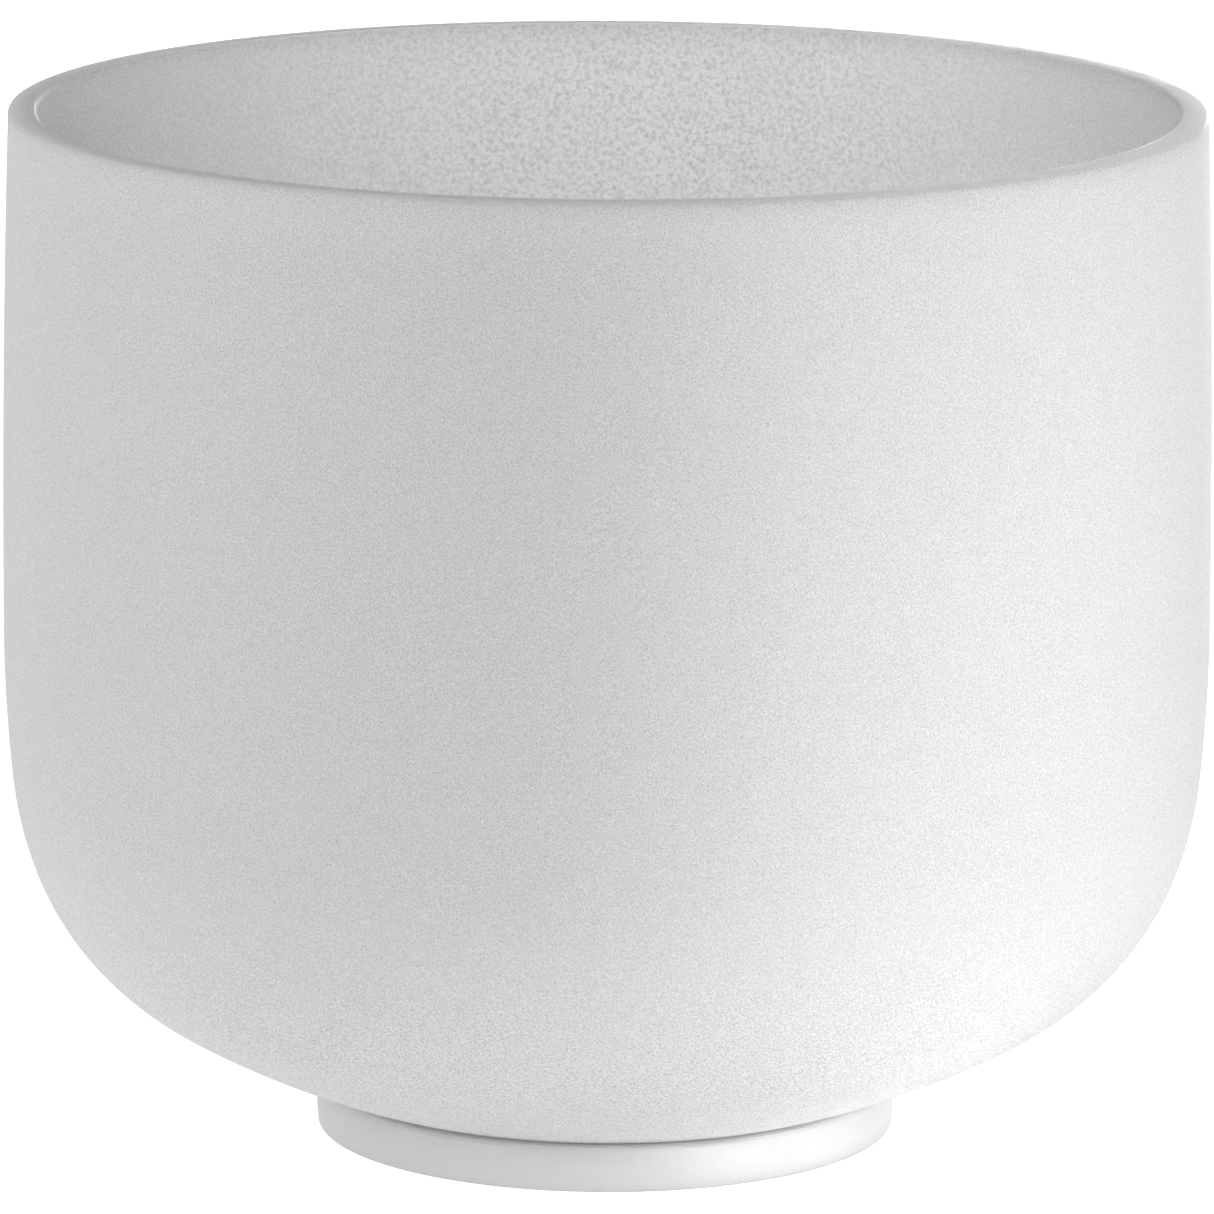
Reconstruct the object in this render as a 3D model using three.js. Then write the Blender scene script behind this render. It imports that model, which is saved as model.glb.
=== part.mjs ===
// A frosted quartz singing bowl and the silicone ring that carries it.
// Millimetres, +Z up. The origin is the centre of the ring's underside.

import * as THREE from 'three';

// ---- The bowl ----
const BELLY_RADIUS = 127;     // outside, at the widest circle: 254 mm across, a ten-inch bowl
const BOWL_HEIGHT = 213.3;    // from the flat of the base to the rim
const RIM_LEAN = 1.8;         // how far the outside leans in from the belly to the rim
const WALL = 6;               // thickness of the quartz, the same all round
const RIM_ROUND = 0.9;        // rounding of the rim's outer edge
const RIM_BEVEL = 0.65;       // bevel of the rim's inner edge

// Below the belly the outside is a chain of arcs, each tangent to the next. The turn is the angle,
// below level, that the outward normal has reached where the arc ends.
const SIDE_ARC = 318;
const SIDE_TURN = 5.9;
const SHOULDER_ARC = 75.6;
const SHOULDER_TURN = 20;
const HEEL_ARC = 60.2;
const HEEL_TURN = 59.3;
const CAP_ARC = 186.7;
const CAP_TURN = 74.1;
const BASE_ARC = 82;
const LEVEL = 0;
const STRAIGHT_DOWN = 90;

// ---- The ring ----
const SEAT_TURN = 71.8;       // turn of the cap's normal where the ring's top meets it
const SEAT_GAP = 0.3;         // clearance between the bowl's underside and the seat
const LIP = 3;                // top of the ring that shows outside the seat
const RING_WIDTH = 10;        // from the inside of the ring to its outside
const RING_EDGE = 0.8;        // rounding of the ring's outer and lower edges
const RING_CROWN = 0.25;      // how far the outer side swells between its edges
const BASE_CLEARANCE = 4.5;   // height of the bowl's base above the surface that the ring stands on

// ---- Facets ----
const SIDES = 72;             // facets round the axis, the same on both pieces
const STEPS = { upper: 4, side: 2, shoulder: 2, heel: 6, cap: 3, base: 3, edge: 2, seat: 3, crown: 4 };

const radians = THREE.MathUtils.degToRad;

// Points of an arc about (centre.r, centre.z), as its outward normal turns from one angle below
// level to another. The first point is left out, because the stretch before ends there.
function arcPoints(centre, radius, fromTurn, toTurn, steps) {
  const points = [];
  for (let step = 1; step <= steps; step += 1) {
    const turn = radians(THREE.MathUtils.lerp(fromTurn, toTurn, step / steps));
    const r = centre.r + radius * Math.cos(turn);
    const z = centre.z - radius * Math.sin(turn);
    points.push(new THREE.Vector2(r, z));
  }
  return points;
}

// The centre of an arc of another radius that is tangent to this one at the given turn.
function tangentCentre(centre, radius, nextRadius, turn) {
  const slip = radius - nextRadius;
  return { r: centre.r + slip * Math.cos(radians(turn)), z: centre.z - slip * Math.sin(radians(turn)) };
}

// The centres of the outside's arcs, with the belly at height bellyZ.
function outsideArcs(bellyZ) {
  const side = { r: BELLY_RADIUS - SIDE_ARC, z: bellyZ };
  const shoulder = tangentCentre(side, SIDE_ARC, SHOULDER_ARC, SIDE_TURN);
  const heel = tangentCentre(shoulder, SHOULDER_ARC, HEEL_ARC, SHOULDER_TURN);
  const cap = tangentCentre(heel, HEEL_ARC, CAP_ARC, HEEL_TURN);
  const base = tangentCentre(cap, CAP_ARC, BASE_ARC, CAP_TURN);
  return { side, shoulder, heel, cap, base };
}

// The base arc ends level, where the flat of the base begins. The belly's height puts that flat
// at its clearance above the surface that the ring stands on.
const BELLY_Z = BASE_CLEARANCE - (outsideArcs(0).base.z - BASE_ARC);
const RIM_Z = BASE_CLEARANCE + BOWL_HEIGHT;
const ARCS = outsideArcs(BELLY_Z);

// Height of the cap's surface, offset outwards by a gap, at a distance from the axis.
function capHeight(distance, gap) {
  const radius = CAP_ARC + gap;
  return ARCS.cap.z - Math.sqrt(radius ** 2 - (distance - ARCS.cap.r) ** 2);
}

// From the belly to the rim the wall is one shallow arc. Its radius follows from the lean.
const UPPER_RISE = RIM_Z - BELLY_Z;
const UPPER_ARC = (UPPER_RISE ** 2 + RIM_LEAN ** 2) / (2 * RIM_LEAN);
const UPPER_CENTRE = { r: BELLY_RADIUS - UPPER_ARC, z: BELLY_Z };

// The turn, above level, at which the upper arc reaches a height at an offset inside the outside.
function upperTurn(height, inset) {
  const sine = (height - BELLY_Z) / (UPPER_ARC - inset);
  return -THREE.MathUtils.radToDeg(Math.asin(sine));
}

// One skin of the wall from the axis up to the given height, at an inset from the outside.
function skinPoints(inset, topHeight) {
  const topTurn = upperTurn(topHeight, inset);
  const flatHeight = BASE_CLEARANCE + inset;
  return [
    new THREE.Vector2(0, flatHeight),
    new THREE.Vector2(ARCS.base.r, flatHeight),
    ...arcPoints(ARCS.base, BASE_ARC - inset, STRAIGHT_DOWN, CAP_TURN, STEPS.base),
    ...arcPoints(ARCS.cap, CAP_ARC - inset, CAP_TURN, HEEL_TURN, STEPS.cap),
    ...arcPoints(ARCS.heel, HEEL_ARC - inset, HEEL_TURN, SHOULDER_TURN, STEPS.heel),
    ...arcPoints(ARCS.shoulder, SHOULDER_ARC - inset, SHOULDER_TURN, SIDE_TURN, STEPS.shoulder),
    ...arcPoints(ARCS.side, SIDE_ARC - inset, SIDE_TURN, LEVEL, STEPS.side),
    ...arcPoints(UPPER_CENTRE, UPPER_ARC - inset, LEVEL, topTurn, STEPS.upper),
  ];
}

// A profile turned about +Z. LatheGeometry turns about +Y, so the solid is stood up afterwards.
function turned(points) {
  const solid = new THREE.LatheGeometry(points, SIDES);
  solid.rotateX(Math.PI / 2);
  return solid;
}

// The bowl's profile runs from the axis out along the base, up the outside, over the rounded and
// ground rim, and down the inside to the axis again.
function bowlGeometry() {
  const outside = skinPoints(0, RIM_Z - RIM_ROUND);
  const inside = skinPoints(WALL, RIM_Z - RIM_BEVEL).reverse();
  const rimEdge = outside[outside.length - 1];
  const rimCentre = { r: rimEdge.x - RIM_ROUND, z: RIM_Z - RIM_ROUND };
  const profile = [
    ...outside,
    ...arcPoints(rimCentre, RIM_ROUND, LEVEL, -STRAIGHT_DOWN, STEPS.edge),
    new THREE.Vector2(inside[0].x + RIM_BEVEL, RIM_Z),
    ...inside,
  ];
  return turned(profile);
}

// The ring's profile runs round its section: out along the underside, up the crowned side, in
// across the lip, down the seat that follows the bowl's cap, and down the inside.
function ringGeometry() {
  const seatRadius = ARCS.cap.r + CAP_ARC * Math.cos(radians(SEAT_TURN));
  const outer = seatRadius + LIP;
  const inner = outer - RING_WIDTH;
  const top = capHeight(seatRadius, SEAT_GAP);
  const edge = outer - RING_CROWN - RING_EDGE;
  const lowerEdge = { r: edge, z: RING_EDGE };
  const upperEdge = { r: edge, z: top - RING_EDGE };
  const crown = [];
  for (let step = 1; step < STEPS.crown; step += 1) {
    const share = step / STEPS.crown;
    const swell = RING_CROWN * Math.sin(Math.PI * share);
    const height = THREE.MathUtils.lerp(RING_EDGE, top - RING_EDGE, share);
    crown.push(new THREE.Vector2(outer - RING_CROWN + swell, height));
  }
  const seat = [];
  for (let step = 0; step <= STEPS.seat; step += 1) {
    const distance = THREE.MathUtils.lerp(seatRadius, inner, step / STEPS.seat);
    seat.push(new THREE.Vector2(distance, capHeight(distance, SEAT_GAP)));
  }
  const start = new THREE.Vector2(inner + RING_EDGE, 0);
  const profile = [
    start,
    new THREE.Vector2(edge, 0),
    ...arcPoints(lowerEdge, RING_EDGE, STRAIGHT_DOWN, LEVEL, STEPS.edge),
    ...crown,
    new THREE.Vector2(edge + RING_EDGE, top - RING_EDGE),
    ...arcPoints(upperEdge, RING_EDGE, LEVEL, -STRAIGHT_DOWN, STEPS.edge),
    ...seat,
    new THREE.Vector2(inner, RING_EDGE),
    start.clone(),
  ];
  return turned(profile);
}

function piece(name, geometry, look) {
  const mesh = new THREE.Mesh(geometry, new THREE.MeshStandardMaterial(look));
  mesh.name = name;
  return mesh;
}

const group = new THREE.Group();
group.add(piece('bowl', bowlGeometry(), { color: 0xdcdcdc, roughness: 0.6, metalness: 0 }));
group.add(piece('support_ring', ringGeometry(), { color: 0xd2d3d3, roughness: 0.45, metalness: 0 }));

export default group;
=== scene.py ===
# %% [markdown]
# # A frosted quartz singing bowl on its silicone ring
# The real thing is two pieces. The bowl is one shell of quartz, fused in a spinning mould,
# sandblasted white, and ground flat on its rim. It stands in a soft ring of milky silicone, which
# lets it ring freely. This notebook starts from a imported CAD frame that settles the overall
# sizes, and makes the fine surfaces and finishes that the frame is too coarse to hold.

# %% Load the frame
import math

import bpy
import numpy as np
from mathutils import Matrix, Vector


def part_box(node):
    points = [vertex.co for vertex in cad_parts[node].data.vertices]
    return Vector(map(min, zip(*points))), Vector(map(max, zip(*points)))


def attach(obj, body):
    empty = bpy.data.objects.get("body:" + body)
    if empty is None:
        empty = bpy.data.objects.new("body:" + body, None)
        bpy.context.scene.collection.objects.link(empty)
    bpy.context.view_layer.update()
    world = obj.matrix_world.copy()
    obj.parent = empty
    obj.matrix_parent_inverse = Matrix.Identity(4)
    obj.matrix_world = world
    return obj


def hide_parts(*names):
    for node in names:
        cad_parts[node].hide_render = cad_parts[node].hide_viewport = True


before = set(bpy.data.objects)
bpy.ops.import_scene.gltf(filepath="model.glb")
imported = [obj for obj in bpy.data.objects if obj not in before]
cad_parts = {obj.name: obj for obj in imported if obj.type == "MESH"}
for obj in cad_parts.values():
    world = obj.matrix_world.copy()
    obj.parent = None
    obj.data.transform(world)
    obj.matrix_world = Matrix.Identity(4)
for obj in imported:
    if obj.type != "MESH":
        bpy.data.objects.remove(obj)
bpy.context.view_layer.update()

MM = 0.001

# %% [markdown]
# ## Sizes
# Overall sizes come from the frame's own boxes: how wide the belly is, how high the rim and the
# base stand, and how tall and wide the ring is. The outline between them is a chain of tangent
# arcs, as a mould maker would draw it. Each arc is given by its radius and by its turn, which is
# how far below level the wall's outward normal has swung where the arc ends.

# %% Sizes of the bowl and the ring
bowl_low, bowl_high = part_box("bowl")
ring_low, ring_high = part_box("support_ring")
BELLY_RADIUS = bowl_high[0]
BASE_Z = bowl_low[2]
RIM_Z = bowl_high[2]
WALL = 6 * MM
RIM_LEAN = 1.8 * MM
RIM_ROUND = 0.9 * MM
RIM_BEVEL = 0.65 * MM
ARCS = (
    (318 * MM, math.radians(5.9)),
    (75.6 * MM, math.radians(20)),
    (60.2 * MM, math.radians(59.3)),
    (186.7 * MM, math.radians(74.1)),
    (82 * MM, math.radians(90)),
)


def lower_wall(turn, inset):
    """Radius, and depth below the belly, of one skin of the wall where its normal has swung by
    turn: along each arc the radius changes by the arc's radius times the change of the turn's
    cosine, and the depth by the arc's radius times the change of its sine."""
    radius = np.full_like(turn, BELLY_RADIUS - inset)
    depth = np.zeros_like(turn)
    start = 0.0
    for arc, end in ARCS:
        part = np.clip(turn, start, end)
        radius += (arc - inset) * (np.cos(part) - math.cos(start))
        depth += (arc - inset) * (np.sin(part) - math.sin(start))
        start = end
    return radius, depth


FLAT_RADIUS, BELLY_DEPTH = (float(v[0]) for v in lower_wall(np.array([math.pi / 2]), 0.0))
BELLY_Z = BASE_Z + BELLY_DEPTH
UPPER_RISE = RIM_Z - BELLY_Z
UPPER_ARC = (UPPER_RISE**2 + RIM_LEAN**2) / (2 * RIM_LEAN)
print(f"belly at {BELLY_Z / MM:.1f} mm, rim at {RIM_Z / MM:.1f} mm")
print(f"base flat {FLAT_RADIUS / MM:.1f} mm in radius")


def upper_wall(height, inset):
    """Radius of one skin above the belly: a shallow arc that leans in by RIM_LEAN at the rim."""
    reach = UPPER_ARC - inset
    return BELLY_RADIUS - UPPER_ARC + np.sqrt(reach**2 - (height - BELLY_Z) ** 2)


# %% [markdown]
# ## A surface from a grid
# Both pieces are round, so each is a profile carried round the axis. The profile could be spun
# with a modifier, but a grid of our own leaves room for the small ways in which a moulded piece
# is not quite round: every vertex is a function of its place along the profile and its angle.

# %% Grid to mesh
AROUND = 360
ANGLES = np.linspace(0, 2 * math.pi, AROUND, endpoint=False)


def quads_between(rows, wrap_rows):
    """Corner numbers of the quads between neighbouring rows of a grid whose columns wrap round."""
    last = rows if wrap_rows else rows - 1
    row, column = np.meshgrid(np.arange(last), np.arange(AROUND), indexing="ij")
    below = row * AROUND
    above = ((row + 1) % rows) * AROUND
    after = (column + 1) % AROUND
    return np.stack([below + column, below + after, above + after, above + column], -1).reshape(-1, 4)


def piece_from_grid(name, grid, poles=()):
    """A mesh object from a grid of points, shape rows x AROUND x 3. With no poles the rows close
    on themselves; otherwise the two poles, one before the first row and one after the last,
    each close their end with a fan of triangles."""
    rows = len(grid)
    points = grid.reshape(-1, 3)
    faces = quads_between(rows, wrap_rows=not poles).tolist()
    if poles:
        first, last = len(points), len(points) + 1
        points = np.concatenate([points, np.array(poles)])
        here = np.arange(AROUND)
        after = (here + 1) % AROUND
        end = (rows - 1) * AROUND
        faces += np.stack([np.full(AROUND, first), after, here], -1).tolist()
        faces += np.stack([end + here, end + after, np.full(AROUND, last)], -1).tolist()
    mesh = bpy.data.meshes.new(name)
    mesh.from_pydata(points.tolist(), [], faces)
    mesh.shade_smooth()
    mesh.update()
    piece = bpy.data.objects.new(name, mesh)
    bpy.context.scene.collection.objects.link(piece)
    print(f"{name}: {len(mesh.vertices)} vertices, {len(mesh.loop_triangles)} triangles")
    return piece


def carried_round(radius, height):
    """A grid of points from a radius and a height, each of shape rows x AROUND."""
    return np.stack([radius * np.cos(ANGLES), radius * np.sin(ANGLES), height], -1)


# %% [markdown]
# ## The bowl
# The quartz is fused in a spinning graphite mould, so the shell is true to a few tenths of a
# millimetre but never perfect: it is a little oval, and its wall is a little thicker on one side.
# The rim is then ground flat on a lap, its outer edge eased with a stone and its inner edge
# bevelled. The profile runs from the middle of the base, up the outside, over the rim and down
# the inside. It is closely spaced only where it bends tightly.

# %% Bowl profile
LOWER_ROWS = 72
UPPER_ROWS = 42
EDGE_ROWS = 8
RIM_ROWS = 5
FLAT_ROWS = 6
FINE_STEPS = 2000
BELOW_EDGE = 0.2 * MM
BEVEL_LEAD = 0.1 * MM


def even_turns(inset, rows):
    """Turns from straight down to level, spaced evenly along the skin."""
    fine = np.linspace(math.pi / 2, 0, FINE_STEPS)
    radius, depth = lower_wall(fine, inset)
    length = np.concatenate([[0], np.cumsum(np.hypot(np.diff(radius), np.diff(depth)))])
    return np.interp(np.linspace(0, length[-1], rows), length, fine)


def skin(inset, top):
    """One skin from its flat middle to a height just under the rim: radius and height."""
    flat = np.linspace(0, FLAT_RADIUS, FLAT_ROWS + 1)[1:-1]
    radius, depth = lower_wall(even_turns(inset, LOWER_ROWS), inset)
    rise = np.linspace(BELLY_Z, top, UPPER_ROWS)[1:]
    return (
        np.concatenate([flat, radius, upper_wall(rise, inset)]),
        np.concatenate([np.full_like(flat, BASE_Z + inset), BELLY_Z - depth, rise]),
    )


def quarter_round(radius, height, size, start, end, rows):
    """Points of an arc of the given size about (radius, height), between two angles."""
    angle = np.linspace(start, end, rows)
    return radius + size * np.cos(angle), height + size * np.sin(angle)


outer_r, outer_z = skin(0.0, RIM_Z - RIM_ROUND - BELOW_EDGE)
inner_r, inner_z = skin(WALL, RIM_Z - RIM_BEVEL - BELOW_EDGE)
rim_outer = float(upper_wall(np.array([RIM_Z - RIM_ROUND]), 0.0)[0])
rim_inner = float(upper_wall(np.array([RIM_Z - RIM_BEVEL]), WALL)[0])
edge_centre = (rim_outer - RIM_ROUND, RIM_Z - RIM_ROUND)
round_r, round_z = quarter_round(*edge_centre, RIM_ROUND, 0, math.pi / 2, EDGE_ROWS)
flat_r = np.linspace(round_r[-1], rim_inner + RIM_BEVEL + BEVEL_LEAD, RIM_ROWS)[1:]
bevel_r = rim_inner + RIM_BEVEL * np.array([0.92, 0.5, 0.08, 0.0])
bevel_z = RIM_Z - RIM_BEVEL * np.array([0.04, 0.46, 0.88, 1.12])
profile_r = np.concatenate([outer_r, round_r, flat_r, bevel_r, inner_r[::-1]])
profile_z = np.concatenate([outer_z, round_z, np.full_like(flat_r, RIM_Z), bevel_z, inner_z[::-1]])
outside_rows = len(outer_r) + len(round_r) + len(flat_r)
on_inside = (np.arange(len(profile_r)) >= outside_rows).astype(float)
print(f"bowl profile: {len(profile_r)} rows")

# %% Bowl out of round
OVAL = 0.10 * MM
THREE_LOBES = 0.05 * MM
UNEVEN_WALL = 0.12 * MM
OVAL_SIDE = 0.7
LOBES_SIDE = 1.2
THICK_SIDE = 2.1


def out_of_round(height, inside):
    """How far the wall stands off a true circle: two and three lobes that drift slowly with
    height and fade out over the lowest quarter, and on the inside one lobe more for the uneven
    wall. The lobes are lowered by their own size, so the bowl never grows past the frame."""
    share = np.clip((height - BASE_Z) / (RIM_Z - BASE_Z), 0, 1)
    fade = np.clip(share * 4, 0, 1)
    oval = OVAL * np.cos(2 * ANGLES + OVAL_SIDE + share)
    lobes = oval + THREE_LOBES * np.cos(3 * ANGLES - LOBES_SIDE - 2 * share)
    wall = UNEVEN_WALL * np.cos(ANGLES - THICK_SIDE)
    return fade * (lobes - OVAL - THREE_LOBES + inside * wall)


height = np.repeat(profile_z[:, None], AROUND, 1)
radius = profile_r[:, None] + out_of_round(height, on_inside[:, None])
poles = [(0, 0, BASE_Z), (0, 0, BASE_Z + WALL)]
bowl = piece_from_grid("quartz_bowl", carried_round(radius, height), poles)
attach(bowl, "bowl")
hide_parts("bowl")

# %% [markdown]
# ## Values painted on the bowl
# Three things about the finish can't be told from a point's height alone, so they are stored on
# the vertices: which skin a vertex is on, how cloudy the quartz is there, and how light the
# ground rim is. The cloudiness gathers towards one side. Real quartz also guides light up its
# walls to the ground rim. A material that only soaks light up can't do that, so a slow change of
# tone round the rim stands in for it.

# %% Painted values
CLOUD_SIDE = math.radians(87)
CLOUD_NARROWNESS = 7
LIT_SIDE = math.radians(300)
RIM_MIDDLE = 0.56
RIM_TWO_SIDED = 0.34
RIM_ONE_SIDED = 0.33


def paint(piece, name, values, first_pole, last_pole):
    """Stores one value per vertex: a grid of values in the mesh's own order, then its poles."""
    layer = piece.data.attributes.new(name, "FLOAT", "POINT")
    grid = np.broadcast_to(values, height.shape)
    every = np.concatenate([grid.ravel(), [first_pole, last_pole]])
    layer.data.foreach_set("value", every.astype(np.float32))
    print(f"{name}: {every.min():.2f} to {every.max():.2f}")


cloud = ((1 + np.cos(ANGLES - CLOUD_SIDE)) / 2) ** CLOUD_NARROWNESS
two_sided = RIM_TWO_SIDED * np.cos(2 * ANGLES)
rim_light = RIM_MIDDLE + two_sided + RIM_ONE_SIDED * np.cos(ANGLES - LIT_SIDE)
paint(bowl, "inside", on_inside[:, None], 0, 1)
paint(bowl, "cloud", cloud[None, :], 0, 0)
paint(bowl, "carried_light", rim_light[None, :], 0, 0)

# %% [markdown]
# ## The ring
# The ring is moulded in soft, milky silicone. Its seat has taken the shape of the bowl's
# underside, its outer side swells a little under the load, and its edges are rounded. The profile
# is a closed loop: out under the ring, up the side, in over the lip, down the seat, down the hole.

# %% Ring
RING_OUTER = ring_high[0]
RING_TOP = ring_high[2]
RING_WIDTH = 10 * MM
RING_EDGE = 0.8 * MM
RING_CROWN = 0.25 * MM
INNER_EDGE = 0.6 * MM
SEAT_LEAD = 0.4 * MM
SEAT_GAP = 0.03 * MM
SIDE_ROWS = 24
SEAT_ROWS = 24
HOLE_ROWS = 10
FOOT_ROWS = 6
SOFT_WAVE = 0.06 * MM
HEEL_TURN = ARCS[2][1]


def underside(radius):
    """Height of the bowl's underside at a radius, read off the outline's own arcs."""
    turns = np.linspace(math.pi / 2, HEEL_TURN, FINE_STEPS)
    at, depth = lower_wall(turns, 0.0)
    return BELLY_Z - np.interp(radius, at, depth)


ring_inner = RING_OUTER - RING_WIDTH
edge_r = RING_OUTER - RING_CROWN - RING_EDGE
low_r, low_z = quarter_round(edge_r, RING_EDGE, RING_EDGE, -math.pi / 2, 0, EDGE_ROWS)
side_z = np.linspace(RING_EDGE, RING_TOP - RING_EDGE, SIDE_ROWS)[1:-1]
side_share = (side_z - RING_EDGE) / (RING_TOP - 2 * RING_EDGE)
side_r = RING_OUTER - RING_CROWN + RING_CROWN * np.sin(math.pi * side_share)
top_r, top_z = quarter_round(edge_r, RING_TOP - RING_EDGE, RING_EDGE, 0, math.pi / 2, EDGE_ROWS)
seat_r = np.linspace(edge_r - SEAT_LEAD, ring_inner + INNER_EDGE, SEAT_ROWS)
seat_z = np.minimum(RING_TOP, underside(seat_r) - SEAT_GAP)
hole_r = np.full(HOLE_ROWS, ring_inner)
hole_z = np.linspace(seat_z[-1] - INNER_EDGE, INNER_EDGE, HOLE_ROWS)
foot_r = np.linspace(ring_inner + INNER_EDGE, edge_r, FOOT_ROWS + 1)[:-1]
ring_r = np.concatenate([low_r, side_r, top_r, seat_r, hole_r, foot_r])
ring_z = np.concatenate([low_z, side_z, top_z, seat_z, hole_z, np.zeros(FOOT_ROWS)])
wave = SOFT_WAVE * (np.cos(4 * ANGLES + 0.4) + 0.6 * np.cos(7 * ANGLES + 2.0) - 1.6)
ring_side = (ring_r[:, None] > edge_r) * (ring_z[:, None] / RING_TOP)
ring_radius = ring_r[:, None] + wave * ring_side
ring_height = np.repeat(ring_z[:, None], AROUND, 1)
ring = piece_from_grid("silicone_ring", carried_round(ring_radius, ring_height))
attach(ring, "ring")
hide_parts("support_ring")


# %% [markdown]
# ## Building materials from nodes
# Every finish here is worked out from the piece's own object coordinates and painted values, so
# it needs no image and stays put when the piece moves. A few small helpers keep the node trees
# readable.

# %% Node helpers
def add(tree, kind, sockets=None, **settings):
    """Adds a node, sets its options, and fills its sockets with values or with links."""
    node = tree.nodes.new(kind)
    for option, value in settings.items():
        setattr(node, option, value)
    for socket, value in (sockets or {}).items():
        if isinstance(value, bpy.types.NodeSocket):
            tree.links.new(value, node.inputs[socket])
        else:
            node.inputs[socket].default_value = value
    return node


def calc(tree, operation, first, second):
    """The output of a Math node."""
    return add(tree, "ShaderNodeMath", {0: first, 1: second}, operation=operation).outputs[0]


def mixed(tree, share, first, second):
    """The output of a Mix node between two values."""
    return add(tree, "ShaderNodeMix", {0: share, 2: first, 3: second}).outputs[0]


def grey(tree, shade):
    """A colour with the same shade in all three channels."""
    return add(tree, "ShaderNodeCombineColor", {0: shade, 1: shade, 2: shade}).outputs[0]


def attribute(tree, name):
    """The value of one of the piece's painted attributes."""
    return add(tree, "ShaderNodeAttribute", attribute_name=name).outputs["Fac"]


def ramp(tree, value, low, high, out_low=0.0, out_high=1.0):
    """The output of a Map Range node that eases smoothly between two values."""
    sockets = {"Value": value, "From Min": low, "From Max": high}
    sockets.update({"To Min": out_low, "To Max": out_high})
    return add(tree, "ShaderNodeMapRange", sockets, interpolation_type="SMOOTHSTEP").outputs["Result"]


def soak_up_light(shader, distance):
    """Lets light of every colour soak the same distance into the piece and leave again."""
    shader.inputs["Subsurface Weight"].default_value = 1.0
    shader.inputs["Subsurface Radius"].default_value = (1, 1, 1)
    shader.inputs["Subsurface Scale"].default_value = distance


# %% [markdown]
# ## Grain
# Sandblasting leaves a field of tiny pits. Up close they show as a fine, even speckle, and here
# and there a facet catches the light; these glints are painted into the tone as lighter flecks.
# Both materials use the same group: a fine noise for the pits, a sparse noise for the painted
# glints of the facets, and a height for the bump. Only values leave the group.

# %% Grain group
# Where the facets' painted glints fall: a sparse noise that makes lighter flecks in the tone.
FACET_SPREAD = 0.8
FACET_START = 0.58
FACET_FULL = 0.75
grain = bpy.data.node_groups.new("blasted_grain", "ShaderNodeTree")
for socket_name, default in (("Grain Size", 0.4 * MM), ("Contrast", 0.05), ("Painted Glint", 0.0)):
    socket = grain.interface.new_socket(socket_name, in_out="INPUT", socket_type="NodeSocketFloat")
    socket.default_value = default
for socket_name in ("Tone", "Height"):
    grain.interface.new_socket(socket_name, in_out="OUTPUT", socket_type="NodeSocketFloat")
grain_in = add(grain, "NodeGroupInput")
grain_place = add(grain, "ShaderNodeTexCoord").outputs["Object"]
grain_scale = calc(grain, "DIVIDE", 1.0, grain_in.outputs["Grain Size"])
pit_sockets = {"Vector": grain_place, "Scale": grain_scale, "Detail": 1.0, "Roughness": 0.7}
pits = add(grain, "ShaderNodeTexNoise", pit_sockets)
facet_scale = calc(grain, "MULTIPLY", grain_scale, FACET_SPREAD)
facet_sockets = {"Vector": grain_place, "Scale": facet_scale, "Detail": 0.0}
facets = add(grain, "ShaderNodeTexNoise", facet_sockets)
painted_glint_mask = ramp(grain, facets.outputs["Fac"], FACET_START, FACET_FULL)
off_middle = calc(grain, "SUBTRACT", pits.outputs["Fac"], 0.5)
pit_tone = calc(grain, "MULTIPLY", off_middle, grain_in.outputs["Contrast"])
# Painted glints: the facets make the tone lighter, standing in for the light they would catch.
painted_glint = calc(grain, "MULTIPLY", painted_glint_mask, grain_in.outputs["Painted Glint"])
grain_tone = calc(grain, "ADD", calc(grain, "ADD", pit_tone, painted_glint), 1.0)
add(grain, "NodeGroupOutput", {"Tone": grain_tone, "Height": pits.outputs["Fac"]})


def place_grain(tree, size, contrast, painted_glint_strength):
    """The grain group, placed in a material's tree with its own values."""
    sockets = {"Grain Size": size, "Contrast": contrast, "Painted Glint": painted_glint_strength}
    return add(tree, "ShaderNodeGroup", sockets, node_tree=grain)


# %% [markdown]
# ## Frosted quartz
# The quartz is made white by fine bubbles in it and by its blasted skin, so light soaks into the
# wall, scatters and leaves again, through to the other side too. It could be made as glass with a
# mist inside, but subsurface scattering gives that look with far less noise. Three things change
# over the surface. The grain is finest high on the outside, and coarser under the heel, with
# painted glints there: lighter flecks in the tone where facets would catch the light. The inside
# has soft flecks where the quartz is cloudy, and a lighter tone than the outside, which is painted
# light for the brighter inside wall. And the ground rim has no frost: it is smoother, with an
# uneven line where the blasting begins and a painted highlight, one bright line along its inner
# edge.

# %% Frost
FINE_GRAIN = 0.36 * MM
FINE_CONTRAST = 1.2
COARSE_GRAIN = 0.46 * MM
COARSE_CONTRAST = 2.0
# Painted glints under the heel: how much lighter the facets make the tone.
COARSE_PAINTED_GLINT = 0.6
FLECK_SIZE = 1.1 * MM
FLECK_CONTRAST = 1.25
HEEL_TOP = 85 * MM
HEEL_LOW = 22 * MM


def frost_grain(tree, height, inside):
    """Tone and height of the frost: fine on the outside, coarse and with painted glints under the
    heel, and on the inside fine with a soft mottling where the quartz is cloudy."""
    low_down = ramp(tree, height, HEEL_TOP, HEEL_LOW)
    fine = place_grain(tree, FINE_GRAIN, FINE_CONTRAST, 0.0)
    coarse = place_grain(tree, COARSE_GRAIN, COARSE_CONTRAST, COARSE_PAINTED_GLINT)
    mottled = place_grain(tree, FLECK_SIZE, FLECK_CONTRAST, 0.0)
    outside_tone = mixed(tree, low_down, fine.outputs["Tone"], coarse.outputs["Tone"])
    inside_tone = mixed(tree, attribute(tree, "cloud"), fine.outputs["Tone"], mottled.outputs["Tone"])
    tone = mixed(tree, inside, outside_tone, inside_tone)
    bumps = mixed(tree, inside, coarse.outputs["Height"], mottled.outputs["Height"])
    return tone, bumps


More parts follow.
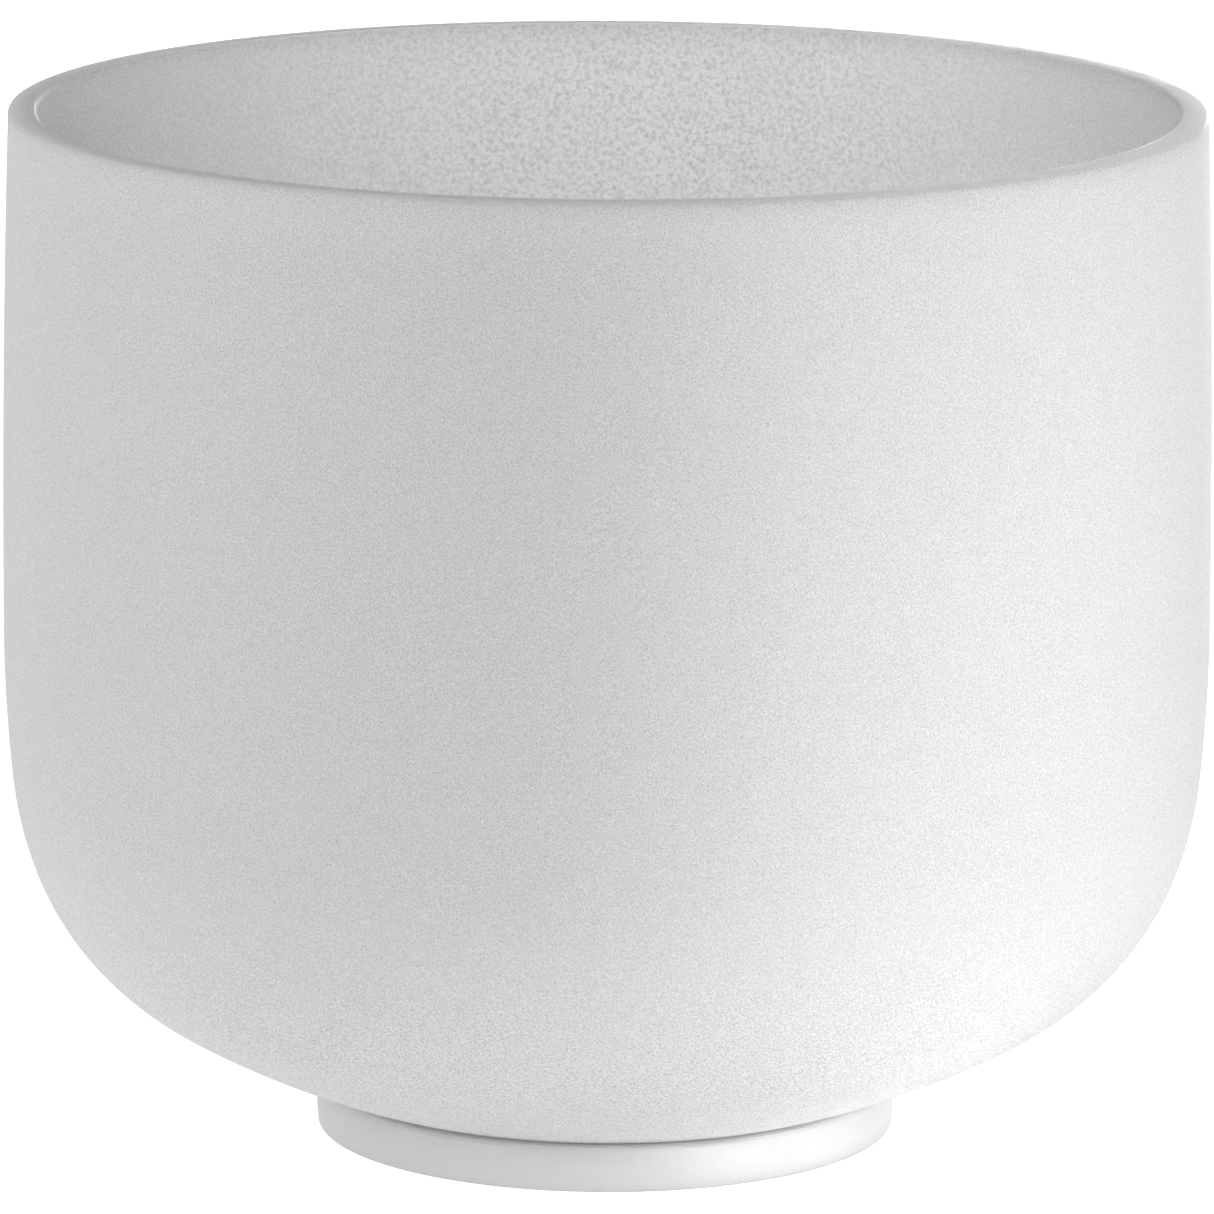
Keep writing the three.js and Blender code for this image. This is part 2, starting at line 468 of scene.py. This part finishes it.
# %% Ground rim
GROUND_DARK = 0.42
GROUND_LIGHT = 1.0
# Painted highlight: one bright line along the rim's inner edge, its tone and width.
EDGE_HIGHLIGHT_TONE = 1.0
EDGE_HIGHLIGHT_WIDTH = 1.0 * MM
FLAT_START = rim_inner + RIM_BEVEL
BLAST_START = 0.15 * MM
BLAST_FULL = 0.45 * MM
SPECKLE_SIZE = 0.7 * MM
SPECKLE_REACH = 0.8 * MM


def ground_mask(tree, place, height):
    """1 on the ground rim and 0 on the frost, with a speckled line between them."""
    sockets = {"Vector": place, "Scale": 1 / SPECKLE_SIZE, "Detail": 2.0}
    speckle = add(tree, "ShaderNodeTexNoise", sockets).outputs["Fac"]
    wobble = calc(tree, "MULTIPLY", calc(tree, "SUBTRACT", speckle, 0.5), SPECKLE_REACH)
    uneven_height = calc(tree, "ADD", height, wobble)
    return ramp(tree, uneven_height, RIM_Z - BLAST_FULL, RIM_Z - BLAST_START)


def ground_tone(tree, place):
    """Tone of the ground rim: lighter or darker with the painted rim light, and a painted highlight
    as one bright line along the inner edge, found from the distance to the axis."""
    span = calc(tree, "MULTIPLY", attribute(tree, "carried_light"), GROUND_LIGHT - GROUND_DARK)
    flat = calc(tree, "ADD", span, GROUND_DARK)
    sockets = {0: place, 1: (1, 1, 0)}
    level = add(tree, "ShaderNodeVectorMath", sockets, operation="MULTIPLY").outputs[0]
    radius = add(tree, "ShaderNodeVectorMath", {0: level}, operation="LENGTH").outputs["Value"]
    # Painted highlight along the inner edge of the ground rim.
    line = ramp(tree, radius, FLAT_START + EDGE_HIGHLIGHT_WIDTH, FLAT_START + EDGE_HIGHLIGHT_WIDTH / 3)
    return mixed(tree, line, flat, EDGE_HIGHLIGHT_TONE)


# %% Frosted quartz material
FROST_TONE = 0.76
# The inside's lighter tone is painted light, for the brighter inside wall.
INSIDE_LIT_TONE = 0.84
FROST_ROUGHNESS = 0.6
GROUND_ROUGHNESS = 0.45
PIT_DEPTH = 0.08 * MM
PIT_STRENGTH = 0.35
QUARTZ_IOR = 1.46
SOAK_DISTANCE = 25 * MM


def frosted_quartz():
    material = bpy.data.materials.new("blasted_quartz")
    material.use_nodes = True
    tree = material.node_tree
    shader = tree.nodes["Principled BSDF"]
    place = add(tree, "ShaderNodeTexCoord").outputs["Object"]
    height = add(tree, "ShaderNodeSeparateXYZ", {0: place}).outputs["Z"]
    inside = attribute(tree, "inside")
    tone, bumps = frost_grain(tree, height, inside)
    ground = ground_mask(tree, place, height)

    # The inside takes a lighter tone than the outside: painted light.
    frost = calc(tree, "MULTIPLY", tone, mixed(tree, inside, FROST_TONE, INSIDE_LIT_TONE))
    shade = mixed(tree, ground, frost, ground_tone(tree, place))
    tree.links.new(grey(tree, shade), shader.inputs["Base Color"])
    roughness = ramp(tree, ground, 0.0, 1.0, FROST_ROUGHNESS, GROUND_ROUGHNESS)
    tree.links.new(roughness, shader.inputs["Roughness"])
    sockets = {"Height": bumps, "Strength": PIT_STRENGTH, "Distance": PIT_DEPTH}
    bump = add(tree, "ShaderNodeBump", sockets)
    tree.links.new(bump.outputs["Normal"], shader.inputs["Normal"])
    shader.inputs["IOR"].default_value = QUARTZ_IOR
    soak_up_light(shader, SOAK_DISTANCE)
    return material


bowl.data.materials.append(frosted_quartz())


# %% [markdown]
# ## Milky silicone
# The ring is smooth and soft to the touch. Light soaks into it as it does into the quartz, but it
# has no blasted skin, so its surface keeps a dull gloss, with the faintest marks of the mould.

# %% Milky silicone material
SILICONE_TONE = 0.68
SILICONE_ROUGHNESS = 0.36
SILICONE_IOR = 1.41
MOULD_GRAIN = 0.8 * MM
MOULD_CONTRAST = 0.04
MOULD_DEPTH = 0.02 * MM
MOULD_STRENGTH = 0.1


def milky_silicone():
    material = bpy.data.materials.new("soft_silicone")
    material.use_nodes = True
    tree = material.node_tree
    shader = tree.nodes["Principled BSDF"]
    fine = place_grain(tree, MOULD_GRAIN, MOULD_CONTRAST, 0.0)
    shade = calc(tree, "MULTIPLY", SILICONE_TONE, fine.outputs["Tone"])
    tree.links.new(grey(tree, shade), shader.inputs["Base Color"])
    sockets = {"Height": fine.outputs["Height"], "Strength": MOULD_STRENGTH, "Distance": MOULD_DEPTH}
    bump = add(tree, "ShaderNodeBump", sockets)
    tree.links.new(bump.outputs["Normal"], shader.inputs["Normal"])
    shader.inputs["Roughness"].default_value = SILICONE_ROUGHNESS
    shader.inputs["IOR"].default_value = SILICONE_IOR
    soak_up_light(shader, SOAK_DISTANCE)
    return material


ring.data.materials.append(milky_silicone())

# %% [markdown]
# ## Studio
# White glass on a white ground keeps its shape only if some of it is left darker, so the light is
# built mostly from low softboxes round the table. The strongest stands behind the bowl and shines
# through its back wall, weaker ones from the right and the left meet in a soft, dark band a little
# left of the middle, two small cards near the table lift the heel, and a narrow spot puts the
# highlight on the ring. The table is a pale sheet that is lit from below too, as a light table
# is, so it casts hardly any shadow. The camera sees the table and the room behind it lighter than
# the light that they give, so the ground stays white from every side.

# %% Floor
FLOOR_REACH = 9.0
FLOOR_TONE = 0.9
FLOOR_ROUGHNESS = 0.9
FLOOR_GLOW = 0.23
FLOOR_WHITE = 0.6
floor_mesh = bpy.data.meshes.new("studio_floor")
corners = [(-1, -1, 0), (1, -1, 0), (1, 1, 0), (-1, 1, 0)]
floor_mesh.from_pydata((np.array(corners) * FLOOR_REACH).tolist(), [], [(0, 1, 2, 3)])
floor = bpy.data.objects.new("studio_floor", floor_mesh)
bpy.context.scene.collection.objects.link(floor)


def glow_for_camera(tree, glow, extra_white):
    """A strength of glow for all light rays, and of that much more for the camera's own."""
    camera_ray = add(tree, "ShaderNodeLightPath").outputs["Is Camera Ray"]
    return calc(tree, "ADD", calc(tree, "MULTIPLY", camera_ray, extra_white), glow)


floor_material = bpy.data.materials.new("pale_floor")
floor_material.use_nodes = True
floor_tree = floor_material.node_tree
floor_shader = floor_tree.nodes["Principled BSDF"]
floor_shader.inputs["Base Color"].default_value = (FLOOR_TONE, FLOOR_TONE, FLOOR_TONE, 1)
floor_shader.inputs["Roughness"].default_value = FLOOR_ROUGHNESS
floor_shader.inputs["Specular IOR Level"].default_value = 0.0
floor_shader.inputs["Emission Color"].default_value = (1, 1, 1, 1)
floor_glow = glow_for_camera(floor_tree, FLOOR_GLOW, FLOOR_WHITE)
floor_tree.links.new(floor_glow, floor_shader.inputs["Emission Strength"])
floor_mesh.materials.append(floor_material)


# %% Lights
MIDDLE_Z = (BASE_Z + RIM_Z) / 2
STAND_AWAY = 2.0


def softbox(name, azimuth, elevation, power, width, height, away=STAND_AWAY, aim=MIDDLE_Z, spread=180):
    """A rectangular soft light, turned round the bowl by azimuth from the camera's side, with
    positive azimuths to the right, raised by elevation, and aimed at a height on the bowl's axis.
    A honeycomb on its front can narrow its spread. Angles are in degrees, sizes in metres and
    power in watts. The camera doesn't see the light itself."""
    around = math.radians(azimuth)
    up = math.radians(elevation)
    level = math.cos(up)
    direction = np.array([math.sin(around) * level, -math.cos(around) * level, math.sin(up)])
    light = bpy.data.lights.new(name, "AREA")
    light.shape = "RECTANGLE"
    light.size = width
    light.size_y = height
    light.energy = power
    light.spread = math.radians(spread)
    lamp = bpy.data.objects.new(name, light)
    lamp.visible_camera = False
    bpy.context.scene.collection.objects.link(lamp)
    turned = Matrix.Rotation(around, 4, "Z") @ Matrix.Rotation(math.pi / 2 - up, 4, "X")
    lamp.matrix_world = Matrix.Translation(np.array([0, 0, aim]) + direction * away) @ turned


softbox("low_behind", 168, 2, power=27, width=0.8, height=0.25)
softbox("high_behind", 180, 50, power=6, width=0.8, height=0.8)
softbox("left_front", -48, 2, power=6.2, width=0.5, height=0.25)
softbox("left_low", -80, 2, power=6.2, width=0.5, height=0.25)
softbox("left_high", -90, 42, power=8, width=1.0, height=1.0)
softbox("right_low", 80, 2, power=11, width=0.4, height=0.25)
softbox("right_front", 30, 10, power=6.8, width=0.6, height=0.5)
softbox("table_card", 41, -5, power=0.42, width=0.32, height=0.07, away=0.5)
softbox("heel_card", 38, -15.5, power=0.045, width=0.12, height=0.03, away=0.3)
softbox("ring_spot", 42, 3, power=0.004, width=0.05, height=0.03, away=0.5, aim=8 * MM, spread=12)

# %% Room behind the table
ROOM_GLOW = 0.08
ROOM_WHITE = 0.84
world = bpy.data.worlds.new("studio_room")
bpy.context.scene.world = world
world.use_nodes = True
room = world.node_tree.nodes["Background"]
room.inputs["Color"].default_value = (1, 1, 1, 1)
room_glow = glow_for_camera(world.node_tree, ROOM_GLOW, ROOM_WHITE)
world.node_tree.links.new(room_glow, room.inputs["Strength"])

# %% [markdown]
# ## Camera
# A long lens from two metres away looks a little down into the bowl, so the mouth shows as a
# flat oval. The Standard view transform keeps pale greys as light as they are lit.

# %% Camera
CAMERA_AWAY = 1.985
CAMERA_UP = 0.524
LOOKING_DOWN = math.radians(11.75)
ROLL = math.radians(0.23)
SENSOR = 36
LENS = 285.4
SEES_AS_FAR_AS = 50
camera_data = bpy.data.cameras.new("camera")
camera_data.sensor_width = SENSOR
camera_data.lens = LENS
camera_data.clip_end = SEES_AS_FAR_AS
camera = bpy.data.objects.new("camera", camera_data)
bpy.context.scene.collection.objects.link(camera)
tilt = Matrix.Rotation(math.pi / 2 - LOOKING_DOWN, 4, "X") @ Matrix.Rotation(ROLL, 4, "Z")
camera.matrix_world = Matrix.Translation((0, -CAMERA_AWAY, CAMERA_UP)) @ tilt
bpy.context.scene.camera = camera
bpy.context.scene.view_settings.view_transform = "Standard"
